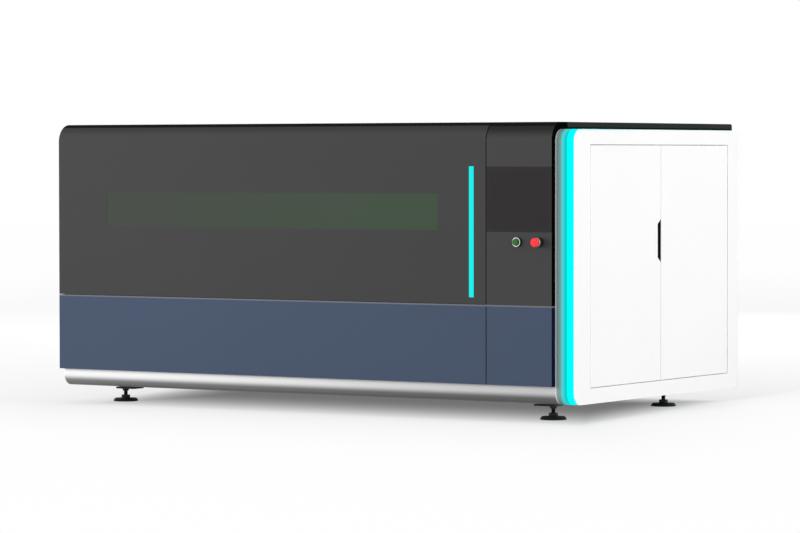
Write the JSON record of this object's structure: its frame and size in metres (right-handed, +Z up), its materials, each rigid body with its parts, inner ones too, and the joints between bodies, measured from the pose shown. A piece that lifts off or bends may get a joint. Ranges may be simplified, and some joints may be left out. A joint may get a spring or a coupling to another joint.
{
  "type": "fiber laser cutting machine",
  "caption": "Enclosed flat-bed fiber laser cutting machine with a lift-up front hatch, gantry, touch-screen column and a side cabinet with two doors, on levelling feet.",
  "frame": {"origin": "middle of the machine's footprint, on the floor", "axes": "+X along the machine to its right-hand cabinet, +Y to the rear, +Z up"},
  "size_m": [4.141, 2.595, 1.95],
  "materials": {
    "graphite_paint": "satin",
    "roof_black": "satin",
    "slate_blue_paint": "satin",
    "silver_paint": "satin metallic",
    "white_paint": "satin",
    "inner_paint": "matte",
    "frame_paint": "matte",
    "cyan_diffuser": "translucent, lit from inside",
    "laser_safe_pane": "tinted polymer",
    "screen_glass": "polished glass, dark behind",
    "black_plastic": "fine texture",
    "green_cap": "gloss",
    "red_cap": "gloss",
    "black_steel": "satin black",
    "ground_steel": "ground",
    "slat_steel": "mill scale",
    "cast_aluminium": "machined",
    "motor_black": "matte black",
    "galvanised": "galvanised"
  },
  "bodies": {
    "machine": {"levelling_feet": "black_steel", "foot_plates": "black_steel", "base_frame": "frame_paint", "upper_frame": "frame_paint", "strut_studs": "ground_steel", "plinth_front": "silver_paint", "belly_pan": "galvanised", "left_end_wall": "silver_paint", "partition_wall": "inner_paint", "rear_panels": "silver_paint", "roof_panel": "roof_black", "lower_skirt_left": "slate_blue_paint", "lower_skirt_right": "slate_blue_paint", "sill_strip": "silver_paint", "console_panel": "graphite_paint", "touch_screen": "screen_glass", "console_fittings": "black_plastic", "side_rim": "silver_paint", "light_ring": "cyan_diffuser", "side_frame": "white_paint", "door_hinges": "black_steel", "hatch_hinge_blocks": "black_steel", "slats": "slat_steel", "bed_frame": "frame_paint", "scrap_tray": "galvanised", "x_guides": "ground_steel", "cabinet_floor": "galvanised", "laser_source": "white_paint", "electrical_plate": "galvanised", "servo_drives": "black_plastic"},
    "hatch": {"hatch_shell": "graphite_paint", "hatch_inner_panel": "inner_paint", "window_frame": "black_plastic", "hatch_window": "laser_safe_pane", "hatch_light_bar": "cyan_diffuser", "hatch_hinge_arms": "black_steel", "hatch_strut_lugs": "black_steel"},
    "strut_tube_left": {"strut_tube_left": "black_steel"},
    "strut_rod_left": {"strut_rod_left": "ground_steel"},
    "strut_tube_right": {"strut_tube_right": "black_steel"},
    "strut_rod_right": {"strut_rod_right": "ground_steel"},
    "door_front": {"cabinet_door_front": "white_paint", "handle_pocket": "black_plastic"},
    "door_rear": {"cabinet_door_rear": "white_paint"},
    "start_button": {"start_button_cap": "green_cap"},
    "stop_plunger": {"stop_plunger": "black_plastic"},
    "stop_head": {"stop_head": "red_cap"},
    "gantry": {"gantry_trucks": "cast_aluminium", "gantry_beam": "cast_aluminium", "gantry_motors": "motor_black"},
    "carriage": {"carriage": "cast_aluminium"},
    "head": {"z_slide": "cast_aluminium", "cutting_head": "cast_aluminium"}
  },
  "joints": [
    {"name": "hatch_lift", "type": "hinge", "parent": "machine", "child": "hatch", "pos_m": [-0.31875, -1.0375, 1.936], "axis": [-1, 0, 0], "range_deg": [0, 78]},
    {"name": "strut_left_swing", "type": "hinge", "parent": "machine", "child": "strut_tube_left", "pos_m": [-1.9705, -0.9775, 1.862], "axis": [-1, 0, 0], "range_deg": [0, 73.68]},
    {"name": "strut_left_extend", "type": "slide", "parent": "strut_tube_left", "child": "strut_rod_left", "axis": [0, -0.5162, -0.8565], "range_m": [0, 0.11595]},
    {"name": "strut_right_swing", "type": "hinge", "parent": "machine", "child": "strut_tube_right", "pos_m": [1.3095, -0.9775, 1.862], "axis": [-1, 0, 0], "range_deg": [0, 73.68]},
    {"name": "strut_right_extend", "type": "slide", "parent": "strut_tube_right", "child": "strut_rod_right", "axis": [0, -0.5162, -0.8565], "range_m": [0, 0.11595]},
    {"name": "door_front_swing", "type": "hinge", "parent": "machine", "child": "door_front", "pos_m": [2.0585, -0.9555, 0.224], "axis": [0, 0, -1], "range_deg": [0, 100]},
    {"name": "door_rear_swing", "type": "hinge", "parent": "machine", "child": "door_rear", "pos_m": [2.0585, 0.9475, 0.224], "axis": [0, 0, 1], "range_deg": [0, 100]},
    {"name": "start_press", "type": "slide", "parent": "machine", "child": "start_button", "axis": [0, 1, 0], "range_m": [0, 0.004], "stiffness_N_per_m": 800},
    {"name": "stop_press", "type": "slide", "parent": "machine", "child": "stop_plunger", "axis": [0, 1, 0], "range_m": [0, 0.0055]},
    {"name": "stop_twist", "type": "hinge", "parent": "stop_plunger", "child": "stop_head", "pos_m": [1.8395, -1.2275, 1.171], "axis": [0, 1, 0], "range_deg": [0, 35], "stiffness_Nm_per_rad": 0.3},
    {"name": "gantry_travel", "type": "slide", "parent": "machine", "child": "gantry", "axis": [1, 0, 0], "range_m": [0, 3.01]},
    {"name": "carriage_travel", "type": "slide", "parent": "gantry", "child": "carriage", "axis": [0, 1, 0], "range_m": [0, 1.45]},
    {"name": "head_lower", "type": "slide", "parent": "carriage", "child": "head", "axis": [0, 0, -1], "range_m": [0, 0.105]}
  ],
  "couplings": [
    {"joint": "strut_left_swing", "follows": "hatch_lift", "ratio": 0.93825},
    {"joint": "strut_left_extend", "follows": "hatch_lift", "m_per_rad": 0.084438},
    {"joint": "strut_right_swing", "follows": "hatch_lift", "ratio": 0.93825},
    {"joint": "strut_right_extend", "follows": "hatch_lift", "m_per_rad": 0.084438}
  ]
}
